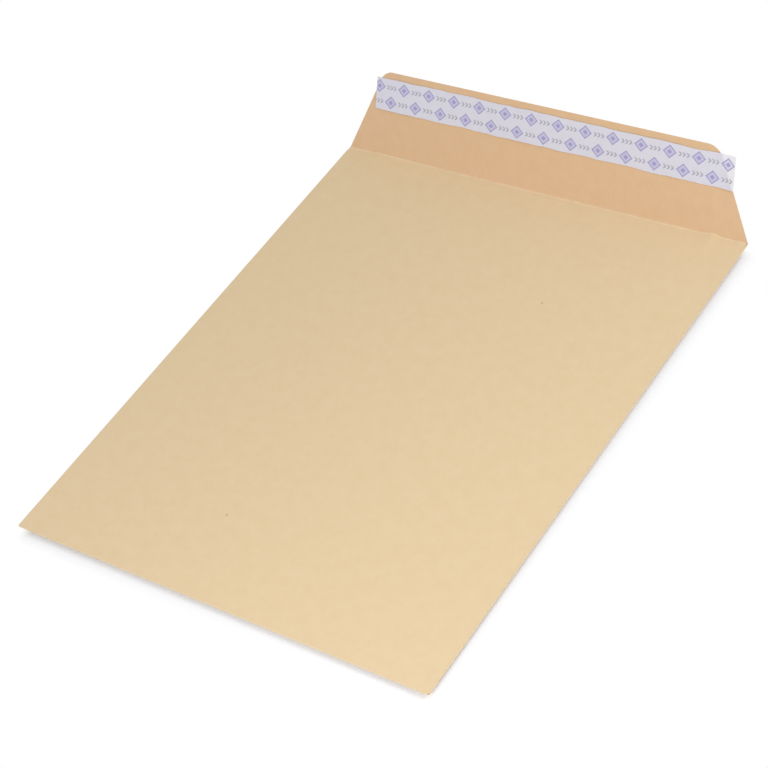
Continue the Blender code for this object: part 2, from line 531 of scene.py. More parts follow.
    def upper_lift(self, x: float, y: float) -> float:
        """Find how far the upper panel stands off the height of its glued seams.

        Args:
            x: place across.
            y: place along.

        Returns:
            The rise off that height.
        """
        to_throat = max(1 - (self.throat_y - y) / self.mouth_depth, 0.0)
        inside = max(1 - (x / self.pocket_half_width) ** 2, 0.0)
        along = (y - self.bottom_fold_y) / (self.throat_y - self.bottom_fold_y)
        puffed = self.loft * inside**2 * math.sin(math.pi * min(max(along, 0.0), 1.0))
        return puffed + self.throat_rise(x) * to_throat**2

    def lower_place(self, x: float, y: float) -> tuple[Vector, Vector]:
        """Place and blank place of a point of the lower panel."""
        return Vector((x, y, self.half_paper + self.lower_lift(x, y))), Vector((x, y, 0.0))

    def flap_place(self, column: float, distance: float) -> tuple[Vector, Vector]:
        """Find where a point of the seal flap lies.

        Args:
            column: place across at the crease.
            distance: distance from the crease.

        Returns:
            The point, and its place on the flat blank.
        """
        root = self.flap.root_half_width
        to_tip = self.flap.depth - distance
        side = self.flap.side(distance)
        left = rounded_end(to_tip, self.left_corner_radius) - side
        right = side - rounded_end(to_tip, self.right_corner_radius)
        x = left + (right - left) * (column + root) / (2 * root)
        point = self.flap.point(x, distance)
        point.z += self.edge_height
        return point, Vector((x, self.flap.crease_y + distance, 0.0))

    def bottom_fold_place(self, share: float, distance: float) -> tuple[Vector, Vector]:
        """Find where a point of the bottom fold lies.

        Args:
            share: place across, as a share of half the panel's width.
            distance: distance from the start of the fold.

        Returns:
            The point, and its place on the flat blank.
        """
        forwards, up = bend(distance, self.bottom_fold_radius, math.pi)
        x = share * self.panel_half_width
        height = self.edge_height + self.half_paper + up
        point = Vector((x, self.bottom_fold_y - forwards, height))
        return point, Vector((x, self.bottom_fold_y - distance, 0.0))

    def upper_blank(self, x: float, y: float) -> Vector:
        """Place on the flat blank of a point of the upper panel."""
        along = self.bottom_fold_length + y - self.bottom_fold_y
        return Vector((x, self.bottom_fold_y - along, 0.0))

    def upper_place(self, share: float, y: float) -> tuple[Vector, Vector]:
        """Find where a point of the upper panel lies.

        Args:
            share: place across, as a share of half the panel's width.
            y: place along.

        Returns:
            The point, and its place on the flat blank.
        """
        to_throat = self.throat_y - y
        x = share * (self.panel_half_width - rounded_end(to_throat, self.throat_corner_radius))
        # A raised stretch of the throat leans on the flap, which slopes away above the crease
        forwards = self.throat_rise(x) / math.tan(self.flap.angle(x))
        dip = swell(x, self.right_seam_setback_x, self.right_seam_setback_reach)
        forwards -= self.right_seam_setback * dip
        near_throat = max(1 - to_throat / self.throat_lean_depth, 0.0)
        height = self.edge_height + self.upper_panel_z + self.upper_lift(x, y)
        point = Vector((x, y + forwards * near_throat, height))
        return point, self.upper_blank(x, y)

    def side_place(
        self, side: int, distance: float, y: float, rows: Sequence[float]
    ) -> tuple[Vector, Vector]:
        """Find where a point of a side flap lies.

        Args:
            side: -1 for the left flap and 1 for the right one.
            distance: distance from the start of the side fold.
            y: place along the fold.
            rows: places along the fold of the flap's rows.

        Returns:
            The point, and its place on the flat blank.
        """
        outwards, up = bend(distance, self.side_fold_radius, math.pi)
        middle, half = (rows[0] + rows[-1]) / 2, (rows[-1] - rows[0]) / 2
        past_fold = max(distance - self.side_fold_length, 0.0)
        cut = past_fold / self.side_flap_run * self.side_flap_end_cut
        placed_y = middle + (y - middle) * (1 - cut / half)
        root = self.flap.root_half_width
        height = self.edge_height + self.half_paper + up
        point = Vector((side * (root + outwards), placed_y, height))
        return point, Vector((side * (root + distance), placed_y, 0.0))

    @staticmethod
    def add_patch(
        sheet: bmesh.types.BMesh,
        across: Sequence[float],
        along: Sequence[float],
        place: Callable[[float, float], tuple[Vector, Vector]],
        turned_over: bool,
    ) -> None:
        """Add a patch of the sheet.

        Args:
            sheet: mesh that the patch joins.
            across: places of its columns.
            along: places of its rows.
            place: gives the point, and its place on the blank, for a column and a row.
            turned_over: True where the patch's outer face looks away from across x along.
        """
        blank = sheet.verts.layers.float_vector[BLANK_PLACE]
        rows = []
        for b in along:
            row = []
            for a in across:
                point, flat = place(a, b)
                vertex = sheet.verts.new(point)
                vertex[blank] = flat
                row.append(vertex)
            rows.append(row)
        for lower, upper in zip(rows, rows[1:]):
            for i in range(len(across) - 1):
                corners = (lower[i], lower[i + 1], upper[i + 1], upper[i])
                sheet.faces.new(reversed(corners) if turned_over else corners).smooth = True

    def panel_columns(self) -> list[float]:
        """Space the upper panel's columns, finer next to the glued seams.

        Returns:
            The places across, from left to right.
        """
        start = self.pocket_half_width - self.fine_inside_seam
        end = self.pocket_half_width + self.fine_outside_seam
        seam = spread(start, end, round((end - start) / self.seam_step))
        right = seam + graded(end, self.panel_half_width, self.step, self.edge_step)[1:]
        middle = spread(-start, start, round(2 * start / self.step))
        return [-x for x in reversed(right)] + middle[1:-1] + right

    def build_mesh(self) -> bpy.types.Mesh:
        """Lay out the patches of the folded sheet and join them along the folds.

        Returns:
            The mesh of the paper's middle surface.
        """
        root = self.flap.root_half_width
        inner = self.panel_columns()
        shares = [x / self.panel_half_width for x in inner]
        columns = [-root, self.edge_step - root, *inner, root - self.edge_step, root]
        side_rows = graded(
            self.bottom_fold_y + self.side_fold_bottom_clearance,
            self.flap.crease_y - self.side_fold_top_clearance,
            self.step,
            self.edge_step,
        )
        sheet = bmesh.new()
        sheet.verts.layers.float_vector.new(BLANK_PLACE)

        bottom_rows = [self.bottom_fold_y, self.bottom_fold_y + self.edge_step]
        crease_rows = [self.flap.crease_y - self.edge_step, self.flap.crease_y]
        lower_rows = bottom_rows + side_rows + crease_rows
        self.add_patch(sheet, columns, lower_rows, self.lower_place, turned_over=True)

        fold_rows = spread(0.0, self.bottom_fold_length, self.fold_steps)
        self.add_patch(sheet, shares, fold_rows, self.bottom_fold_place, turned_over=False)
        straight_start = self.bottom_fold_y + 2 * self.edge_step
        straight_end = self.throat_y - self.throat_corner_radius
        upper_rows = bottom_rows + graded(straight_start, straight_end, self.step, self.edge_step)
        upper_rows += corner_rows(self.throat_y, self.throat_corner_radius, self.corner_steps)[1:]
        self.add_patch(sheet, shares, upper_rows, self.upper_place, turned_over=False)

        crease_length = self.flap.crease_radius * max(self.flap.left_angle, self.flap.right_angle)
        widest = max(self.left_corner_radius, self.right_corner_radius)
        flap_rows = spread(0.0, crease_length, self.crease_steps)[:-1]
        flap_rows += graded(crease_length, self.flap.depth - widest, self.step, self.edge_step)
        flap_rows += corner_rows(self.flap.depth, widest, self.corner_steps)[1:]
        self.add_patch(sheet, columns, flap_rows, self.flap_place, turned_over=True)

        fold_end = self.side_fold_length
        distances = spread(0.0, fold_end, self.fold_steps)[:-1]
        distances += graded(fold_end, fold_end + self.side_flap_run, self.step, self.edge_step)
        for side in (-1, 1):
            self.add_patch(
                sheet,
                distances,
                side_rows,
                lambda a, b, side=side: self.side_place(side, a, b, side_rows),
                turned_over=side > 0,
            )
        bmesh.ops.remove_doubles(sheet, verts=sheet.verts, dist=self.merge_distance)
        mesh = bpy.data.meshes.new("envelope_sheet")
        sheet.to_mesh(mesh)
        sheet.free()
        return mesh

    def build(self, finishes: dict[PaperSide, bpy.types.Material]) -> bpy.types.Object:
        """Make the sheet, give it the thickness of the paper and dress its three surfaces.

        Args:
            finishes: material of each kind of surface.

        Returns:
            The finished piece.
        """
        mesh = self.build_mesh()
        for side in PaperSide:
            mesh.materials.append(finishes[side])
        flat = new_piece("envelope_sheet", mesh)
        wall = flat.modifiers.new("paper_thickness", "SOLIDIFY")
        wall.thickness = self.flap.paper
        wall.offset = 0.0
        wall.use_even_offset = True
        wall.material_offset = PaperSide.INSIDE.value
        wall.material_offset_rim = PaperSide.CUT_EDGE.value
        piece = made_plain(flat)
        piece.data.set_sharp_from_angle(angle=self.sharp_angle)
        return piece


@dataclass(frozen=True)
class SeamGlue:
    """The two lines of dried glue that hold the upper panel down on the side flaps."""

    sheet: FoldedSheet
    outer_margin: float = 0.0035
    inner_margin: float = 0.003
    wander: float = 0.0006
    wander_pitch: float = 0.023
    step: float = 0.004

    def section(self, side: int, y: float) -> list[Vector]:
        """Find the corners of a glue line's section, which bites a little into both papers.

        Args:
            side: -1 for the left seam and 1 for the right one.
            y: place along the seam.

        Returns:
            The four corners, in order round the section.
        """
        sheet = self.sheet
        bite = sheet.half_paper / 2
        low = sheet.edge_height + sheet.side_flap_z + sheet.half_paper - bite
        high = sheet.edge_height + sheet.upper_panel_z - sheet.half_paper + bite
        wave = self.wander * math.sin(2 * math.pi * y / self.wander_pitch)
        outer = sheet.flap.half_width - self.outer_margin
        inner = sheet.flap.half_width - sheet.side_flap_width + self.inner_margin + wave
        corners = [(outer, low), (outer, high), (inner, high), (inner, low)]
        return [Vector((side * x, y, z)) for x, z in corners]

    def build(self, finish: bpy.types.Material) -> bpy.types.Object:
        """Loft both glue lines along their seams, as one dressed piece.

        Args:
            finish: material of the glue.

        Returns:
            The finished piece.
        """
        clearance = self.sheet.side_fold_top_clearance + self.sheet.side_flap_end_cut
        first = self.sheet.bottom_fold_y + clearance
        last = self.sheet.flap.crease_y - clearance
        glue = bmesh.new()
        blank = glue.verts.layers.float_vector.new(BLANK_PLACE)
        for side in (-1, 1):
            rings = []
            for y in spread(first, last, round((last - first) / self.step)):
                rings.append([glue.verts.new(corner) for corner in self.section(side, y)])
                for vertex in rings[-1]:
                    vertex[blank] = vertex.co
            for ring, following in zip(rings, rings[1:]):
                for i in range(len(ring)):
                    j = (i + 1) % len(ring)
                    glue.faces.new((ring[i], ring[j], following[j], following[i]))
            glue.faces.new(rings[0])
            glue.faces.new(rings[-1])
        bmesh.ops.recalc_face_normals(glue, faces=glue.faces)
        mesh = bpy.data.meshes.new("seam_glue")
        glue.to_mesh(mesh)
        glue.free()
        mesh.materials.append(finish)
        return new_piece("seam_glue", mesh)


@dataclass(frozen=True)
class StripLayout:
    """Where a strip lies on the seal flap, and how it strays from a plain band.

    Left and right run across the envelope, start and width run up the flap from the crease, and
    lift is measured from the middle of the flap's paper. All are in metres.
    """

    name: str
    left: float
    right: float
    start: float
    width: float
    thickness: float
    lift: float
    edge_wander: float
    wander_pitch: float
    flutter: float
    flutter_pitch: float
    end_rise: float
    end_reach: float
    columns: int = 180
    rows: int = 10

    def tree_inputs(self) -> dict[str, float | int]:
        """Its sizes and counts, by the names of the strip tree's inputs."""
        names = [field.name for field in fields(self) if field.name != "name"]
        return {name.replace("_", " ").title(): getattr(self, name) for name in names}


class StripTree:
    """Geometry Nodes that bend a flat strip on to the raised seal flap."""

    NAME = "strip_on_flap"

    # Its inputs: the plain band, how it strays from that, the flap that it lies on, and its grid
    BAND = ("Left", "Right", "Start", "Width", "Thickness", "Lift")
    STRAYING = ("Edge Wander", "Wander Pitch", "Flutter", "Flutter Pitch", "End Rise", "End Reach")
    FLAP = ("Half Width", "Crease Y", "Crease Z", "Crease Radius", "Left Angle", "Right Angle")
    COUNTS = ("Columns", "Rows")
    SEED = 4.0

    # The stretch of the noise that takes an edge from all the way in to all the way out, and
    # how closely the straying keeps to the edge
    WANDER_DETAIL = 2.0
    WANDER_NOISE = (0.25, 0.75)
    WANDER_POWER = 6.0

    # The stretch of the noise that takes the strip from flat to fully lifted, and how steeply
    # its right end curls up
    FLUTTER_DETAIL = 1.0
    FLUTTER_NOISE = (0.4, 0.75)
    CURL_POWER = 2.0

    def __init__(self, sheet: FoldedSheet) -> None:
        """Build the tree for strips on this sheet's flap.

        Args:
            sheet: the folded sheet that the strips lie on.
        """
        self.sheet = sheet
        self.tree = bpy.data.node_groups.new(self.NAME, "GeometryNodeTree")
        sockets = self.tree.interface
        sockets.new_socket("Geometry", in_out="OUTPUT", socket_type="NodeSocketGeometry")
        for name in self.BAND + self.STRAYING + self.FLAP:
            sockets.new_socket(name, in_out="INPUT", socket_type="NodeSocketFloat")
        for name in self.COUNTS:
            sockets.new_socket(name, in_out="INPUT", socket_type="NodeSocketInt")
        sockets.new_socket("Finish", in_out="INPUT", socket_type="NodeSocketMaterial")
        self.size = add_node(self.tree, "NodeGroupInput").outputs
        self.lay_nodes()

    def lay_nodes(self) -> None:
        """Lay the nodes: a fine flat box, its place on the flap, and its finish."""
        tree, size = self.tree, self.size
        box = add_node(
            tree,
            "GeometryNodeMeshCube",
            {"Vertices X": size["Columns"], "Vertices Y": size["Rows"], "Vertices Z": 2},
        )
        position = add_node(tree, "GeometryNodeInputPosition")
        corner = add_node(tree, SEPARATE, {0: position}).outputs
        ends = {"To Min": size["Left"], "To Max": size["Right"]}
        x = add_node(
            tree, MAP_RANGE, {"Value": corner["X"], "From Min": -0.5, "From Max": 0.5, **ends}
        )
        across = self.across_strip(corner["Y"], x)
        distance = add_node(tree, MATH, {0: across, 1: size["Start"]}, operation="ADD")
        lift = self.height_off_paper(corner["Z"], x, distance)
        placed = self.turned_up(x, distance, lift)

        # The place on the flat strip, from its lower left corner, is kept for the print
        along = add_node(tree, MATH, {0: x, 1: size["Left"]}, operation="SUBTRACT")
        own_place = add_node(tree, COMBINE, {"X": along, "Y": across, "Z": corner["Z"]})
        kept = add_node(
            tree,
            "GeometryNodeStoreNamedAttribute",
            {"Geometry": box.outputs["Mesh"], "Name": STRIP_PLACE, "Value": own_place},
            data_type="FLOAT_VECTOR",
            domain="POINT",
        )
        bent = add_node(tree, "GeometryNodeSetPosition", {"Geometry": kept, "Position": placed})
        real = add_node(tree, "GeometryNodeRealizeInstances", {"Geometry": bent})
        dressed = add_node(
            tree, "GeometryNodeSetMaterial", {"Geometry": real, "Material": size["Finish"]}
        )
        add_node(tree, "NodeGroupOutput", {"Geometry": dressed})

    def across_strip(self, row: bpy.types.NodeSocket, x: bpy.types.Node) -> bpy.types.Node:
        """Measure from the strip's lower edge, with each long edge straying by itself.

        Args:
            row: share of the width, from -0.5 to 0.5.
            x: place across the envelope.

        Returns:
            The node whose first output is the distance.
        """
        tree, size = self.tree, self.size
        at_edge = add_node(tree, COMBINE, {"X": x, "Y": row, "Z": self.SEED})
        often = add_node(tree, MATH, {0: 1.0, 1: size["Wander Pitch"]}, operation="DIVIDE")
        grain = {"Scale": often, "Detail": self.WANDER_DETAIL}
        wave = add_node(tree, NOISE, {"Vector": at_edge, **grain})
        low, high = self.WANDER_NOISE
        stray = add_node(
            tree, MAP_RANGE, {"Value": wave, "From Min": low, "From Max": high, "To Min": -1.0}
        )
        from_middle = add_node(tree, MATH, {0: row}, operation="ABSOLUTE")
        twice = add_node(tree, MATH, {0: from_middle, 1: 2.0}, operation="MULTIPLY")
        only_edge = add_node(tree, MATH, {0: twice, 1: self.WANDER_POWER}, operation="POWER")
        strays = add_node(tree, MATH, {0: stray, 1: only_edge}, operation="MULTIPLY")
        wandered = add_node(tree, MATH, {0: strays, 1: size["Edge Wander"]}, operation="MULTIPLY")
        share = add_node(tree, MATH, {0: row, 1: 0.5}, operation="ADD")
        band = {0: share, 1: size["Width"], 2: wandered}
        return add_node(tree, MATH, band, operation="MULTIPLY_ADD")

    def height_off_paper(
        self, wall: bpy.types.NodeSocket, x: bpy.types.Node, distance: bpy.types.Node
    ) -> bpy.types.Node:
        """Measure off the middle of the flap's paper, with the flutter and the lifted right end.

        Args:
            wall: share of the strip's thickness, from -0.5 to 0.5.
            x: place across the envelope.
            distance: distance from the crease.

        Returns:
            The node whose first output is the height.
        """
        tree, size = self.tree, self.size
        flat_wall = {0: wall, 1: size["Thickness"], 2: size["Lift"]}
        level = add_node(tree, MATH, flat_wall, operation="MULTIPLY_ADD")
        on_flap = add_node(tree, COMBINE, {"X": x, "Y": distance, "Z": self.SEED})
        often = add_node(tree, MATH, {0: 1.0, 1: size["Flutter Pitch"]}, operation="DIVIDE")
        grain = {"Scale": often, "Detail": self.FLUTTER_DETAIL}
        wave = add_node(tree, NOISE, {"Vector": on_flap, **grain})
        low, high = self.FLUTTER_NOISE
        loose = add_node(tree, MAP_RANGE, {"Value": wave, "From Min": low, "From Max": high})
        raised = {0: loose, 1: size["Flutter"], 2: level}
        fluttered = add_node(tree, MATH, raised, operation="MULTIPLY_ADD")
        end_start = add_node(
            tree, MATH, {0: size["Right"], 1: size["End Reach"]}, operation="SUBTRACT"
        )
        past_end = add_node(
            tree, MAP_RANGE, {"Value": x, "From Min": end_start, "From Max": size["Right"]}
        )
        curl = add_node(tree, MATH, {0: past_end, 1: self.CURL_POWER}, operation="POWER")
        curled = {0: curl, 1: size["End Rise"], 2: fluttered}
        return add_node(tree, MATH, curled, operation="MULTIPLY_ADD")

    def turned_up(
        self, x: bpy.types.Node, distance: bpy.types.Node, lift: bpy.types.Node
    ) -> bpy.types.Node:
        """Turn a place up on to the flap, which stands up past the end of its crease.

        Args:
            x: place across the envelope.
            distance: distance from the crease.
            lift: height off the middle of the paper.

        Returns:
            The node whose first output is the place.
        """
        tree, size = self.tree, self.size
        other_end = add_node(tree, MATH, {0: 0.0, 1: size["Half Width"]}, operation="SUBTRACT")
        crease_ends = {"From Min": other_end, "From Max": size["Half Width"]}
        end_angles = {"To Min": size["Left Angle"], "To Max": size["Right Angle"]}
        angle = add_node(tree, MAP_RANGE, {"Value": x, **crease_ends, **end_angles})
        arc = add_node(tree, MATH, {0: size["Crease Radius"], 1: angle}, operation="MULTIPLY")
        run = add_node(tree, MATH, {0: distance, 1: arc}, operation="SUBTRACT")
        flat = add_node(tree, COMBINE, {"Y": run, "Z": lift})
        turned = add_node(
            tree,
            "ShaderNodeVectorRotate",
            {"Vector": flat, "Angle": angle},
            rotation_type="X_AXIS",
        )
        sine = add_node(tree, MATH, {0: angle}, operation="SINE")
        cosine = add_node(tree, MATH, {0: angle}, operation="COSINE")
        drop = add_node(tree, MATH, {0: 1.0, 1: cosine}, operation="SUBTRACT")
        y_terms = {0: sine, 1: size["Crease Radius"], 2: size["Crease Y"]}
        z_terms = {0: drop, 1: size["Crease Radius"], 2: size["Crease Z"]}
        crease_y = add_node(tree, MATH, y_terms, operation="MULTIPLY_ADD")
        crease_z = add_node(tree, MATH, z_terms, operation="MULTIPLY_ADD")
        crease_end = add_node(tree, COMBINE, {"X": x, "Y": crease_y, "Z": crease_z})
        return add_node(tree, VECTOR_MATH, {0: turned, 1: crease_end}, operation="ADD")

    def build(self, layout: StripLayout, finish: bpy.types.Material) -> bpy.types.Object:
        """Make one strip on the flap.

        Args:
            layout: where the strip lies and how it strays.
            finish: its material.

        Returns:
            The strip, as a plain mesh object.
        """
        flap = self.sheet.flap
        values = {
            **layout.tree_inputs(),
            "Half Width": flap.half_width,
            "Crease Y": flap.crease_y,
            "Crease Z": self.sheet.edge_height + flap.paper / 2,
            "Crease Radius": flap.crease_radius,
            "Left Angle": flap.left_angle,
            "Right Angle": flap.right_angle,
            "Finish": finish,
        }
        base = new_piece(layout.name, bpy.data.meshes.new(layout.name))
        modifier = base.modifiers.new(self.NAME, "NODES")
        modifier.node_group = self.tree
        for item in self.tree.interface.items_tree:
            if item.in_out == "INPUT":
                modifier[item.identifier] = values[item.name]
        return made_plain(base)


@dataclass(frozen=True)
class SealStrips:
    """The gum band on the inner side of the flap and the release strip that covers it."""

    flap: FlapForm
    contact_gap: float = 0.00004

    # Gum band
    gum_width: float = 0.012
    gum_thickness: float = 0.0001
    gum_end_margin: float = 0.006

    # Release strip: how far it covers the gum, stops short of the tip and passes the flap's sides
    strip_cover: float = 0.003
    strip_tip_margin: float = 0.0038
    strip_left_overhang: float = -0.001
    strip_right_overhang: float = 0.0045
    strip_thickness: float = 0.00008

    @property
    def strip_width(self) -> float:
        """Width of the release strip."""
        return self.gum_width + 2 * self.strip_cover

    @property
    def strip_start(self) -> float:
        """Distance of the release strip's lower edge from the crease."""
        return self.flap.depth - self.strip_tip_margin - self.strip_width

    def gum_layout(self) -> StripLayout:
        """Lay out the gum band, whose edges are uneven where the gum was rolled on.

        Returns:
            The band's layout.
        """
        start = self.strip_start + self.strip_cover
        end = self.flap.side(start + self.gum_width) - self.gum_end_margin
        return StripLayout(
            name="gum_band",
            left=-end,
            right=end,
            start=start,
            width=self.gum_width,
            thickness=self.gum_thickness,
            lift=self.flap.paper / 2 + self.contact_gap + self.gum_thickness / 2,
            edge_wander=0.0005,
            wander_pitch=0.007,
            flutter=0.0,
            flutter_pitch=0.03,
            end_rise=0.0,
            end_reach=0.006,
        )

    def release_layout(self) -> StripLayout:
        """Lay out the release strip, which is slit nearly straight and lifts a little.

        Returns:
            The strip's layout.
        """
        side = self.flap.side(self.strip_start + self.strip_width / 2)
        under = self.flap.paper / 2 + 2 * self.contact_gap + self.gum_thickness
        return StripLayout(
            name="release_strip",
            left=-side - self.strip_left_overhang,
            right=side + self.strip_right_overhang,
            start=self.strip_start,
            width=self.strip_width,
            thickness=self.strip_thickness,
            lift=under + self.strip_thickness / 2,
            edge_wander=0.0006,
            wander_pitch=0.02,
            flutter=0.00025,
            flutter_pitch=0.035,
            end_rise=0.0008,
            end_reach=0.012,
        )


@dataclass(frozen=True)
class WearAndHighlightLine:
    """A paler line on the flat blank, of broken surface as at a fold, some also a painted
    highlight.

    Axis is "X" or "Y" on the blank, and place and reach are in metres.
    """

    axis: str
    place: float
    reach: float
    strength: float


@dataclass(frozen=True)
class ManilaPaper:
    """Manila kraft paper: bleached and unbleached pulp, machine-made and left uncoated.

    To the eye it is a matt buff sheet. Faint clouds show where the pulp lies thicker, short pale
    fibres follow the machine's run, a few faint flecks are bits of bark, and a paler line
    follows each fold, where the surface fibres have broken; at the crease and at the throat's cut
    edge that line is also a painted highlight. Larger specks lie where they are seen. Sizes are in
    millimetres.
    """

    name: str
    tone: str
    cloud_tone: str
    fibre_tone: str
    wear_and_highlight_tone: str
    fleck_tone: str = "#A9885C"

    # Clouds, and the stretch of their noise that goes from thin pulp to thick
    cloud_size: float = 7.0
    cloud_detail: float = 5.0
    cloud_roughness: float = 0.62
    cloud_noise: tuple[float, float] = (0.35, 0.7)

    # A real fibre is 0.02 to 0.04 mm wide and 2 to 3 mm long, too fine to show at this range, so
    # it is drawn as coarse as a tuft of them
    fibre_width: float = 0.7
    fibre_length: float = 5.0
    fibre_detail: float = 3.0
    fibre_noise: tuple[float, float] = (0.5, 0.8)
    fibre_share: float = 0.35

    # Bits of bark, in more than a quarter of the paper's cells, and the larger specks. Each has
    # a full core and fades out round it
    fleck_spacing: float = 17.0
    fleck_size: float = 0.5
    fleck_core: float = 0.4
    fleck_share: float = 0.25
    fleck_threshold: float = 0.72
    speck_size: float = 1.0
    speck_core: float = 0.3
    speck_share: float = 0.45

    # How the clouds break up a line of wear and painted highlight
    wear_and_highlight_noise: tuple[float, float] = (0.3, 0.6)
    least_wear_and_highlight: float = 0.35

    least_roughness: float = 0.82
    most_roughness: float = 0.92
    relief: float = 0.02
    relief_strength: float = 0.3
    specular: float = 0.3

    def material(
        self, wear_and_highlight_lines: Sequence[WearAndHighlightLine], specks: Sequence[Vector]
    ) -> bpy.types.Material:
        """Make the material, which reads the place on the flat blank.

        Args:
            wear_and_highlight_lines: paler lines where the surface is broken, some also a painted
                highlight.
            specks: places of the larger specks on the flat blank, in metres.

        Returns:
            The finished material.
        """
        material, tree, shader = new_material(self.name)
        place = flat_place(tree, BLANK_PLACE)
        grain = {"Detail": self.cloud_detail, "Roughness": self.cloud_roughness}
        clouds = add_node(tree, NOISE, {"Vector": place, "Scale": 1 / self.cloud_size, **grain})
        low, high = self.cloud_noise
        thick = add_node(tree, MAP_RANGE, {"Value": clouds, "From Min": low, "From Max": high})
        fibre_scale = (1 / self.fibre_width, 1 / self.fibre_length, 1.0)
        run = add_node(tree, MAPPING, {"Vector": place, "Scale": fibre_scale})
        tufts = {"Scale": 1.0, "Detail": self.fibre_detail}
        fibres = add_node(tree, NOISE, {"Vector": run, **tufts})
        low, high = self.fibre_noise
        tuft = add_node(
            tree,
            MAP_RANGE,
            {"Value": fibres, "From Min": low, "From Max": high, "To Max": self.fibre_share},
        )
        layers = (
            (thick, self.cloud_tone),
            (tuft, self.fibre_tone),
            (self.flecks(tree, place, specks), self.fleck_tone),
            # The last layer is wear, and at the crease and the throat's edge also a painted
            # highlight
            (self.wear(tree, place, clouds, wear_and_highlight_lines), self.wear_and_highlight_tone),
        )
        roughness = add_node(
            tree,
            MAP_RANGE,
            {"Value": clouds, "To Min": self.least_roughness, "To Max": self.most_roughness},
        )
        felt = add_node(tree, MATH, {0: fibres, 1: clouds}, operation="ADD")
        depth = {"Strength": self.relief_strength, "Distance": self.relief * MILLIMETRE}
        surface = {
            "Base Color": laid_over(tree, self.tone, layers),
            "Roughness": roughness,
            "Normal": add_node(tree, BUMP, {"Height": felt, **depth}),
            "Specular IOR Level": self.specular,
        }
        set_inputs(tree, shader, surface)
        return material

    def flecks(
        self, tree: bpy.types.NodeTree, place: bpy.types.Node, specks: Sequence[Vector]
    ) -> bpy.types.Node:
        """Lay small bits of bark, each where a random cell of the paper holds one, and specks.

        Args:
            tree: the material's nodes.
            place: place on the blank in millimetres.
            specks: places of the larger specks on the flat blank, in metres.

        Returns:
            The node whose first output is the share of a fleck's colour.
        """
        cells = add_node(
            tree, "ShaderNodeTexVoronoi", {"Vector": place, "Scale": 1 / self.fleck_spacing}
        )
        size = self.fleck_size / self.fleck_spacing
        near = add_node(
            tree,
            MAP_RANGE,
            {
                "Value": cells.outputs["Distance"],
                "From Min": size,
                "From Max": self.fleck_core * size,
                "To Max": self.fleck_share,
            },
        )
        draw = add_node(tree, "ShaderNodeSeparateColor", {"Color": cells.outputs["Color"]})
        chosen = add_node(
            tree, MATH, {0: draw, 1: self.fleck_threshold}, operation="GREATER_THAN"
        )
        most = add_node(tree, MATH, {0: near, 1: chosen}, operation="MULTIPLY")
        for speck in specks:
            away = add_node(
                tree, VECTOR_MATH, {0: place, 1: speck / MILLIMETRE}, operation="DISTANCE"
            )
            near = add_node(
                tree,
                MAP_RANGE,
                {
                    "Value": away.outputs["Value"],
                    "From Min": self.speck_size,
                    "From Max": self.speck_core * self.speck_size,
                    "To Max": self.speck_share,
                },
            )
            most = add_node(tree, MATH, {0: most, 1: near}, operation="MAXIMUM")
        return most

    def wear(
        self,
        tree: bpy.types.NodeTree,
        place: bpy.types.Node,
        clouds: bpy.types.Node,
        wear_and_highlight_lines: Sequence[WearAndHighlightLine],
    ) -> bpy.types.Node:
        """Draw the lines of wear and painted highlight, broken up where the paper lies thin.

        Args:
            tree: the material's nodes.
            place: place on the blank in millimetres.
            clouds: noise that breaks the lines up.
            wear_and_highlight_lines: the lines.

        Returns:
            The node whose first output is the share of wear and painted highlight.
        """
        axes = add_node(tree, SEPARATE, {0: place}).outputs
        most = add_node(tree, MATH, {0: 0.0, 1: 0.0}, operation="MAXIMUM")
        for line in wear_and_highlight_lines:
            offset = add_node(
                tree,
                MATH,
                {0: axes[line.axis], 1: line.place / MILLIMETRE},
                operation="SUBTRACT",
            )
            away = add_node(tree, MATH, {0: offset}, operation="ABSOLUTE")
            reach = {"From Min": line.reach / MILLIMETRE, "From Max": 0.0}
            near = add_node(tree, MAP_RANGE, {"Value": away, **reach, "To Max": line.strength})
            most = add_node(tree, MATH, {0: most, 1: near}, operation="MAXIMUM")
        low, high = self.wear_and_highlight_noise
        broken = add_node(
            tree,
            MAP_RANGE,
            {"Value": clouds, "From Min": low, "From Max": high, "To Min": self.least_wear_and_highlight},
        )
        return add_node(tree, MATH, {0: most, 1: broken}, operation="MULTIPLY")


class Motif(Enum):
    """The two marks printed in turn on the release strip."""

    LOZENGE = "lozenge"
    CHEVRONS = "chevrons"


@dataclass(frozen=True)
class Mark:
    """A printed mark, with its half sizes in millimetres, and its ink."""

    motif: Motif
    half_length: float
    half_height: float
    ink: str


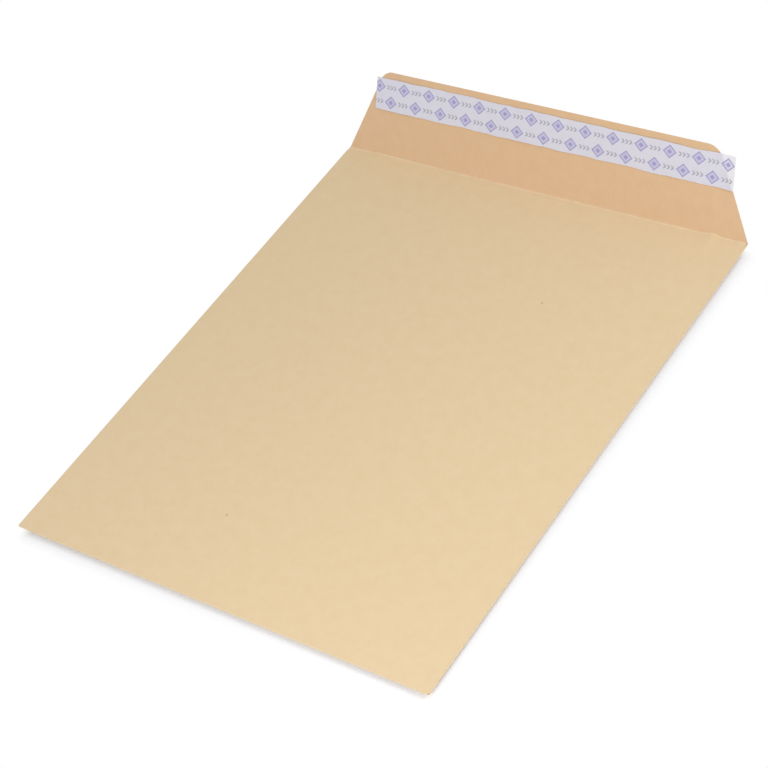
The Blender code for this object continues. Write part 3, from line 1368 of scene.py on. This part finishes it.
@dataclass(frozen=True)
class ReleasePaper:
    """Glassine release paper: thin bleached pulp, supercalendered and coated with silicone.

    To the eye it is a cool, nearly white strip with a satin sheen. It is thin enough to look
    greyer where it lies on the flap than at its free end, which light passes through; that
    paler free end is painted into its colour as light through the strip. The thin violet and grey
    ink on it takes unevenly on the hard surface. Sizes are in millimetres.
    """

    name: str = "release_glassine"
    tone: str = "#DEDEEB"
    cloud_tone: str = "#D6D6E4"
    painted_light_through_tone: str = "#F4F4F9"
    cloud_size: float = 5.0
    cloud_detail: float = 4.0
    roughness: float = 0.42
    relief: float = 0.05
    relief_strength: float = 0.15

    # How strongly the painted light through the free end shows, and where it starts and is full
    # past the flap's side
    painted_light_through_share: float = 0.7
    painted_light_start: float = -0.4
    painted_light_full: float = 0.6

    # Two straight rows, each given by its height on the strip and the place of a lozenge. The
    # two marks lie half a pitch apart
    row_places: tuple[tuple[float, float], ...] = ((13.2, 2.0), (4.8, 10.5))
    pitch: float = 17.0
    marks: tuple[Mark, ...] = (
        Mark(Motif.LOZENGE, half_length=4.1, half_height=3.7, ink="#8D87C8"),
        Mark(Motif.CHEVRONS, half_length=3.6, half_height=1.2, ink="#A3A3B0"),
    )

    # A lozenge's outline, its core as a share of its size, and the ink in its wash and outline
    ring_width: float = 0.8
    core_share: float = 0.36
    wash_ink: float = 0.38
    full_ink: float = 0.95

    # A chevron's pitch, and its stroke as a share of that
    chevron_pitch: float = 2.3
    stroke_share: float = 0.48

    # Ink lies unevenly on silicone, in grains of this size
    ink_grain: float = 1 / 3
    ink_detail: float = 2.0
    ink_noise: tuple[float, float] = (0.3, 0.6)
    least_ink: float = 0.55

    def material(self, flap_edge: float, flap_taper: float) -> bpy.types.Material:
        """Make the material, which reads the place on the flat strip.

        Args:
            flap_edge: where the flap's side crosses the strip's lower edge, along the strip.
            flap_taper: how far the flap's side draws in for each unit up the strip.

        Returns:
            The finished material.
        """
        material, tree, shader = new_material(self.name)
        place = flat_place(tree, STRIP_PLACE)
        axes = add_node(tree, SEPARATE, {0: place}).outputs
        coarse = {"Scale": 1 / self.cloud_size, "Detail": self.cloud_detail}
        clouds = add_node(tree, NOISE, {"Vector": place, **coarse})
        # The free end past the flap's side is painted paler, as light shining through the thin
        # strip
        slanted = {0: axes["Y"], 1: flap_taper, 2: axes["X"]}
        past_flap = add_node(tree, MATH, slanted, operation="MULTIPLY_ADD")
        edge = flap_edge / MILLIMETRE
        ends = {"From Min": edge + self.painted_light_start, "From Max": edge + self.painted_light_full}
        free = add_node(
            tree, MAP_RANGE, {"Value": past_flap, **ends, "To Max": self.painted_light_through_share}
        )
        layers = [(clouds, self.cloud_tone), (free, self.painted_light_through_tone)]

        fine = {"Scale": 1 / self.ink_grain, "Detail": self.ink_detail}
        grain = add_node(tree, NOISE, {"Vector": place, **fine})
        low, high = self.ink_noise
        takes = add_node(
            tree,
            MAP_RANGE,
            {"Value": grain, "From Min": low, "From Max": high, "To Min": self.least_ink},
        )
        for height, start in self.row_places:
            for turn, mark in enumerate(self.marks):
                offset = start + turn * self.pitch / len(self.marks)
                shape = self.printed_row(tree, axes, mark, height, offset)
                inked = add_node(tree, MATH, {0: shape, 1: takes}, operation="MULTIPLY")
                layers.append((inked, mark.ink))
        depth = {"Strength": self.relief_strength, "Distance": self.relief * MILLIMETRE}
        surface = {
            "Base Color": laid_over(tree, self.tone, layers),
            "Roughness": self.roughness,
            "Normal": add_node(tree, BUMP, {"Height": clouds, **depth}),
        }
        set_inputs(tree, shader, surface)
        return material

    def printed_row(
        self,
        tree: bpy.types.NodeTree,
        axes: bpy.types.bpy_prop_collection,
        mark: Mark,
        height: float,
        offset: float,
    ) -> bpy.types.Node:
        """Print a straight row of one mark along the strip.

        Args:
            tree: the material's nodes.
            axes: the place on the flat strip in millimetres.
            mark: the mark to print.
            height: height of the row on the strip.
            offset: place of one of its marks along the strip.

        Returns:
            The node whose first output is the share of ink.
        """
        half_pitch = self.pitch / 2
        shifted = add_node(tree, MATH, {0: axes["X"], 1: offset - half_pitch}, operation="SUBTRACT")
        repeated = add_node(tree, MATH, {0: shifted, 1: self.pitch}, operation="FLOORED_MODULO")
        along = add_node(tree, MATH, {0: repeated, 1: half_pitch}, operation="SUBTRACT")
        off_row = add_node(tree, MATH, {0: axes["Y"], 1: height}, operation="SUBTRACT")
        away = add_node(tree, MATH, {0: along}, operation="ABSOLUTE")
        above = add_node(tree, MATH, {0: off_row}, operation="ABSOLUTE")
        if mark.motif is Motif.LOZENGE:
            return self.lozenge(tree, away, above, mark)
        return self.chevrons(tree, along, away, above, mark)

    def lozenge(
        self, tree: bpy.types.NodeTree, away: bpy.types.Node, above: bpy.types.Node, mark: Mark
    ) -> bpy.types.Node:
        """Draw a lozenge with a full outline, a thin wash inside and a full core.

        Args:
            tree: the material's nodes.
            away: distance from its middle along the strip.
            above: distance from its middle across the strip.
            mark: its sizes.

        Returns:
            The node whose first output is the share of ink.
        """
        along_share = add_node(tree, MATH, {0: away, 1: mark.half_length}, operation="DIVIDE")
        up_share = add_node(tree, MATH, {0: above, 1: mark.half_height}, operation="DIVIDE")
        reach = add_node(tree, MATH, {0: along_share, 1: up_share}, operation="ADD")
        inside = add_node(tree, MATH, {0: reach, 1: 1.0}, operation="LESS_THAN")
        ring = 1 - self.ring_width / mark.half_height
        in_ring = add_node(tree, MATH, {0: reach, 1: ring}, operation="GREATER_THAN")
        in_core = add_node(tree, MATH, {0: reach, 1: self.core_share}, operation="LESS_THAN")
        full = add_node(tree, MATH, {0: in_ring, 1: in_core}, operation="MAXIMUM")
        ink = add_node(
            tree, MAP_RANGE, {"Value": full, "To Min": self.wash_ink, "To Max": self.full_ink}
        )
        return add_node(tree, MATH, {0: inside, 1: ink}, operation="MULTIPLY")

    def chevrons(
        self,
        tree: bpy.types.NodeTree,
        along: bpy.types.Node,
        away: bpy.types.Node,
        above: bpy.types.Node,
        mark: Mark,
    ) -> bpy.types.Node:
        """Draw three chevrons that point along the strip, one after another.

        Args:
            tree: the material's nodes.
            along: place along the strip from their middle.
            away: distance from their middle along the strip.
            above: distance from their middle across the strip.
            mark: their sizes, all three together.

        Returns:
            The node whose first output is the share of ink.
        """
        swept = add_node(tree, MATH, {0: along, 1: above}, operation="ADD")
        share = add_node(tree, MATH, {0: swept, 1: self.chevron_pitch}, operation="DIVIDE")
        part = add_node(tree, MATH, {0: share}, operation="FRACT")
        stroke = add_node(tree, MATH, {0: part, 1: self.stroke_share}, operation="LESS_THAN")
        in_length = add_node(tree, MATH, {0: away, 1: mark.half_length}, operation="LESS_THAN")
        in_height = add_node(tree, MATH, {0: above, 1: mark.half_height}, operation="LESS_THAN")
        inside = add_node(tree, MATH, {0: in_length, 1: in_height}, operation="MULTIPLY")
        return add_node(tree, MATH, {0: inside, 1: stroke}, operation="MULTIPLY")


@dataclass(frozen=True)
class SealGum:
    """Hot-melt pressure-sensitive gum, rolled on in a thin film.

    To the eye it is a pale yellowish, slightly glossy film with fine streaks along the roller's
    run. Sizes are in millimetres.
    """

    name: str = "hot_melt_gum"
    tone: str = "#E5DCC4"
    streak_tone: str = "#D9CBA8"
    streak_width: float = 0.6
    streak_length: float = 14.0
    streak_detail: float = 3.0
    roughness: float = 0.32
    relief: float = 0.03
    relief_strength: float = 0.5

    def material(self, place_name: str) -> bpy.types.Material:
        """Make the material, which reads a named place on the flat piece.

        Args:
            place_name: name of the attribute with the place in metres.

        Returns:
            The finished material.
        """
        material, tree, shader = new_material(self.name)
        streak_scale = (1 / self.streak_length, 1 / self.streak_width, 1.0)
        run = add_node(
            tree, MAPPING, {"Vector": flat_place(tree, place_name), "Scale": streak_scale}
        )
        grain = {"Scale": 1.0, "Detail": self.streak_detail}
        streaks = add_node(tree, NOISE, {"Vector": run, **grain})
        depth = {"Strength": self.relief_strength, "Distance": self.relief * MILLIMETRE}
        surface = {
            "Base Color": laid_over(tree, self.tone, [(streaks, self.streak_tone)]),
            "Roughness": self.roughness,
            "Normal": add_node(tree, BUMP, {"Height": streaks, **depth}),
        }
        set_inputs(tree, shader, surface)
        return material


@dataclass(frozen=True)
class Lamp:
    """A square soft box that points at the middle of the envelope."""

    name: str
    place: tuple[float, float, float]
    size: float
    watts: float

    def build(self) -> bpy.types.Object:
        """Hang the lamp and turn it to the envelope.

        Returns:
            The lamp.
        """
        data = bpy.data.lights.new(self.name, "AREA")
        data.shape = "SQUARE"
        data.size = self.size
        data.energy = self.watts
        lamp = bpy.data.objects.new(self.name, data)
        bpy.context.scene.collection.objects.link(lamp)
        lamp.location = self.place
        lamp.rotation_euler = (-Vector(self.place)).to_track_quat("-Z", "Y").to_euler()
        return lamp


@dataclass(frozen=True)
class Studio:
    """The white table and the even light round it."""

    floor_half_size: float = 6.0
    floor_drop: float = 0.0001
    floor_tone: str = "#F4F5F9"
    floor_roughness: float = 0.9
    floor_lift: float = 0.066
    # The shadow is kept inside a box that reaches past the near sides, and fades to white round it
    kept_centre: tuple[float, float] = (0.0045, -0.0045)
    kept_half_size: tuple[float, float] = (0.1240, 0.1495)
    white_by: float = 0.006
    room_light: float = 0.66
    lamps: tuple[Lamp, ...] = (
        Lamp("front_lamp", place=(0.2, -0.5, 0.4), size=0.25, watts=1.15),
        Lamp("side_lamp", place=(0.55, 0.1, 0.5), size=0.3, watts=1.2),
    )

    def seen_white(self, tree: bpy.types.NodeTree) -> bpy.types.Node:
        """Tell rays that show the background straight, by mirror or through glass.

        Args:
            tree: the nodes of the table's material or of the room.

        Returns:
            The node whose first output is 1 for such a ray and 0 for any other.
        """
        rays = add_node(tree, "ShaderNodeLightPath").outputs
        shown = rays["Is Camera Ray"]
        for kind in ("Is Glossy Ray", "Is Transmission Ray"):
            shown = add_node(tree, MATH, {0: shown, 1: rays[kind]}, operation="MAXIMUM")
        return shown

    def floor_material(self) -> bpy.types.Material:
        """Make a white table top that keeps the shadow, and fades to plain white further off.

        Returns:
            The finished material.
        """
        material, tree, shader = new_material("white_table")
        shown = self.seen_white(tree)
        lift = add_node(tree, MATH, {0: shown, 1: self.floor_lift}, operation="MULTIPLY")
        surface = {
            "Base Color": linear(self.floor_tone),
            "Roughness": self.floor_roughness,
            "Specular IOR Level": 0.0,
            "Emission Color": WHITE,
            "Emission Strength": lift,
        }
        set_inputs(tree, shader, surface)

        # How far a place lies outside the box, across and along, and from there in all
        place = add_node(tree, "ShaderNodeTexCoord").outputs["Object"]
        centre, reach = (*self.kept_centre, 0.0), (*self.kept_half_size, 1.0)
        offset = add_node(tree, VECTOR_MATH, {0: place, 1: centre}, operation="SUBTRACT")
        mirrored = add_node(tree, VECTOR_MATH, {0: offset}, operation="ABSOLUTE")
        beyond = add_node(tree, VECTOR_MATH, {0: mirrored, 1: reach}, operation="SUBTRACT")
        outside = add_node(tree, VECTOR_MATH, {0: beyond, 1: (0.0, 0.0, 0.0)}, operation="MAXIMUM")
        away = add_node(tree, VECTOR_MATH, {0: outside}, operation="LENGTH").outputs["Value"]
        far = add_node(
            tree, MAP_RANGE, {"Value": away, "From Min": 0.0, "From Max": self.white_by}
        )
        far_shown = add_node(tree, MATH, {0: far, 1: shown}, operation="MULTIPLY")
        white = add_node(tree, "ShaderNodeEmission", {"Strength": 1.0})
        blended = add_node(tree, "ShaderNodeMixShader", {0: far_shown, 1: shader, 2: white})
        set_inputs(tree, tree.nodes["Material Output"], {"Surface": blended})
        return material

    def build_floor(self) -> bpy.types.Object:
        """Lay the table top just under the envelope.

        Returns:
            The table top.
        """
        half, low = self.floor_half_size, -self.floor_drop
        corners = [(-half, -half, low), (half, -half, low), (half, half, low), (-half, half, low)]
        mesh = bpy.data.meshes.new("table_top")
        mesh.from_pydata(corners, [], [(0, 1, 2, 3)])
        mesh.materials.append(self.floor_material())
        return new_piece("table_top", mesh)

    def build_room(self) -> None:
        """Even light from all round, seen as plain white."""
        world = bpy.data.worlds.new("studio_room")
        bpy.context.scene.world = world
        world.use_nodes = True
        tree = world.node_tree
        strength = add_node(
            tree,
            MAP_RANGE,
            {"Value": self.seen_white(tree), "To Min": self.room_light, "To Max": 1.0},
        )
        set_inputs(tree, tree.nodes["Background"], {"Color": WHITE, "Strength": strength})

    def build(self) -> None:
        """Set up the table, the room and the lamps."""
        self.build_floor()
        self.build_room()
        for lamp in self.lamps:
            lamp.build()


@dataclass(frozen=True)
class StudioCamera:
    """The camera at the photograph's place.

    Heading, pitch and roll are in degrees, lens and sensor in millimetres, and the shifts in
    shares of the frame, from pixels of the photograph.
    """

    place: tuple[float, float, float] = (0.5686, -0.5231, 0.7350)
    heading: float = -49.05
    pitch: float = 43.451
    roll: float = 20.293
    lens: float = 98.48
    sensor: float = 36.0
    shift_x: float = 42 / PHOTO_SIDE
    shift_y: float = 15 / PHOTO_SIDE
    nearest: float = 0.01

    def build(self) -> bpy.types.Object:
        """Set up the camera and make it the scene's own.

        Returns:
            The camera.
        """
        heading, pitch = math.radians(self.heading), math.radians(self.pitch)
        roll = math.radians(self.roll)
        level_run = math.cos(pitch)
        forward = Vector(
            (math.sin(heading) * level_run, math.cos(heading) * level_run, -math.sin(pitch))
        )
        level = forward.cross(Vector((0, 0, 1))).normalized()
        upright = level.cross(forward)
        right = level * math.cos(roll) - upright * math.sin(roll)
        up = right.cross(forward)
        data = bpy.data.cameras.new("photo_camera")
        data.sensor_width = self.sensor
        data.lens = self.lens
        data.shift_x = self.shift_x
        data.shift_y = self.shift_y
        data.clip_start = self.nearest
        camera = bpy.data.objects.new("photo_camera", data)
        bpy.context.scene.collection.objects.link(camera)
        turn = Matrix((right, up, -forward)).transposed().to_4x4()
        camera.matrix_world = Matrix.Translation(Vector(self.place)) @ turn
        bpy.context.scene.camera = camera
        return camera


@dataclass(frozen=True)
class Envelope:
    """The whole envelope: its folded sheet, its glue, and the strips on its flap."""

    sheet: FoldedSheet
    strips: SealStrips
    specks_on_top: tuple[tuple[float, float], ...] = ((-0.0253, -0.1038), (0.0478, 0.0785))

    # The crease's line of wear and painted highlight lies a little way up the flap, at its shaded
    # root
    crease_wear_and_highlight_rise: float = 0.0006

    outside: ManilaPaper = ManilaPaper(
        "manila_kraft_outside",
        tone="#E3CAA2",
        cloud_tone="#E6CEA8",
        fibre_tone="#E9D4B2",
        wear_and_highlight_tone="#EED8B5",
    )
    inside: ManilaPaper = ManilaPaper(
        "manila_kraft_inside",
        tone="#DEBA93",
        cloud_tone="#E1BF99",
        fibre_tone="#E7C7A4",
        wear_and_highlight_tone="#F0D5B2",
    )
    cut_edge: ManilaPaper = ManilaPaper(
        "manila_kraft_cut_edge",
        tone="#E8D5B2",
        cloud_tone="#EEDDBD",
        fibre_tone="#F2E4C9",
        wear_and_highlight_tone="#F2E4C9",
    )

    def wear_and_highlight_lines(self) -> list[WearAndHighlightLine]:
        """Place the lines of wear at the folds, and of wear and painted highlight at the crease and
        the throat's cut edge.

        Returns:
            The lines on the flat blank.
        """
        sheet = self.sheet
        crease = sheet.flap.crease_y + self.crease_wear_and_highlight_rise
        bottom = sheet.bottom_fold_y - sheet.bottom_fold_length / 2
        side = sheet.flap.root_half_width + sheet.side_fold_length / 2
        return [
            # Crease: partly wear, partly a painted highlight that lightens the shade at the flap's
            # root
            WearAndHighlightLine("Y", crease, reach=0.0009, strength=0.4),
            WearAndHighlightLine("Y", bottom, reach=0.0009, strength=0.3),
            WearAndHighlightLine("X", side, reach=0.0008, strength=0.3),
            WearAndHighlightLine("X", -side, reach=0.0008, strength=0.3),
            # Throat's cut edge: partly wear, partly a painted highlight where the edge catches the
            # light
            WearAndHighlightLine("Y", sheet.blank_throat, reach=0.0014, strength=1.0),
        ]

    def build(self) -> list[bpy.types.Object]:
        """Make and dress every piece, and hide the solid that each one takes the place of.

        Returns:
            The finished pieces.
        """
        lines = self.wear_and_highlight_lines()
        specks = [self.sheet.upper_blank(x, y) for x, y in self.specks_on_top]
        finishes = {
            PaperSide.OUTSIDE: self.outside.material(lines, specks),
            PaperSide.INSIDE: self.inside.material(lines, []),
            PaperSide.CUT_EDGE: self.cut_edge.material([], []),
        }
        sheet_piece = self.sheet.build(finishes)
        self.hand_over(sheet_piece, "envelope", "manila_paper")
        glue_piece = SeamGlue(self.sheet).build(SealGum("seam_glue").material(BLANK_PLACE))
        self.hand_over(glue_piece, "envelope", "seal_gum")
        tree = StripTree(self.sheet)
        gum_piece = tree.build(self.strips.gum_layout(), SealGum().material(STRIP_PLACE))
        self.hand_over(gum_piece, "adhesive_strip", "seal_gum")
        layout = self.strips.release_layout()
        flap_edge = self.sheet.flap.side(layout.start) - layout.left
        release_paper = ReleasePaper().material(flap_edge, self.sheet.flap.side_taper)
        strip_piece = tree.build(layout, release_paper)
        self.hand_over(strip_piece, "release_liner", "release_paper")
        return [sheet_piece, glue_piece, gum_piece, strip_piece]

    @staticmethod
    def hand_over(piece: bpy.types.Object, node: str, slot: str) -> None:
        """Fix a piece to the frame.

        Args:
            piece: the finished piece.
            node: the solid that it stands for.
            slot: not used.
        """
        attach(piece, BODY)
        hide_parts(node)


def main() -> None:
    """Build the envelope's pieces in order, then the studio, and report each one."""
    logging.basicConfig(level=logging.INFO, format="%(message)s")
    low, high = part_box("envelope")
    flap = FlapForm(half_width=high.x, crease_y=-low.y)
    envelope = Envelope(FoldedSheet(flap, half_length=-low.y), SealStrips(flap))
    for piece in envelope.build():
        log.info("%s: %d faces", piece.name, len(piece.data.polygons))
    Studio().build()
    camera = StudioCamera().build()
    log.info("%s: lens %.1f mm", camera.name, camera.data.lens)
    bpy.context.scene.view_settings.view_transform = "Standard"


if __name__ == "__main__":
    main()
